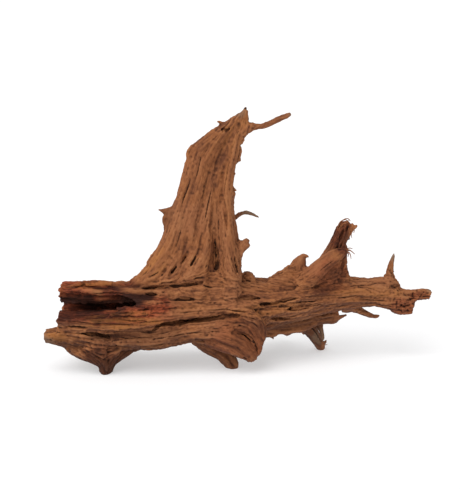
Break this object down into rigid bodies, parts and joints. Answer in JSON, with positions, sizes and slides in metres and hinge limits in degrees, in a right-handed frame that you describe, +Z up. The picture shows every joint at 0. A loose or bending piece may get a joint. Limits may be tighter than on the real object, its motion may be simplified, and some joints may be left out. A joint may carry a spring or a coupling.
{
  "type": "mangrove root",
  "caption": "Weathered mangrove root: a ribbed lying trunk with a hollow end, a tall flat upright blade, a forked stub and pointed root ends, standing on its own root feet.",
  "frame": {"origin": "middle of the bounding box's base, on the ground that the root feet stand on", "axes": "+X along the trunk from its hollow end to its tips, +Y to the back, +Z up"},
  "size_m": [0.46, 0.1526, 0.3078],
  "materials": {
    "driftwood": "matt, weathered, reddish brown root wood with open splits"
  },
  "bodies": {
    "root": {"mangrove_root": "driftwood"}
  },
  "joints": []
}
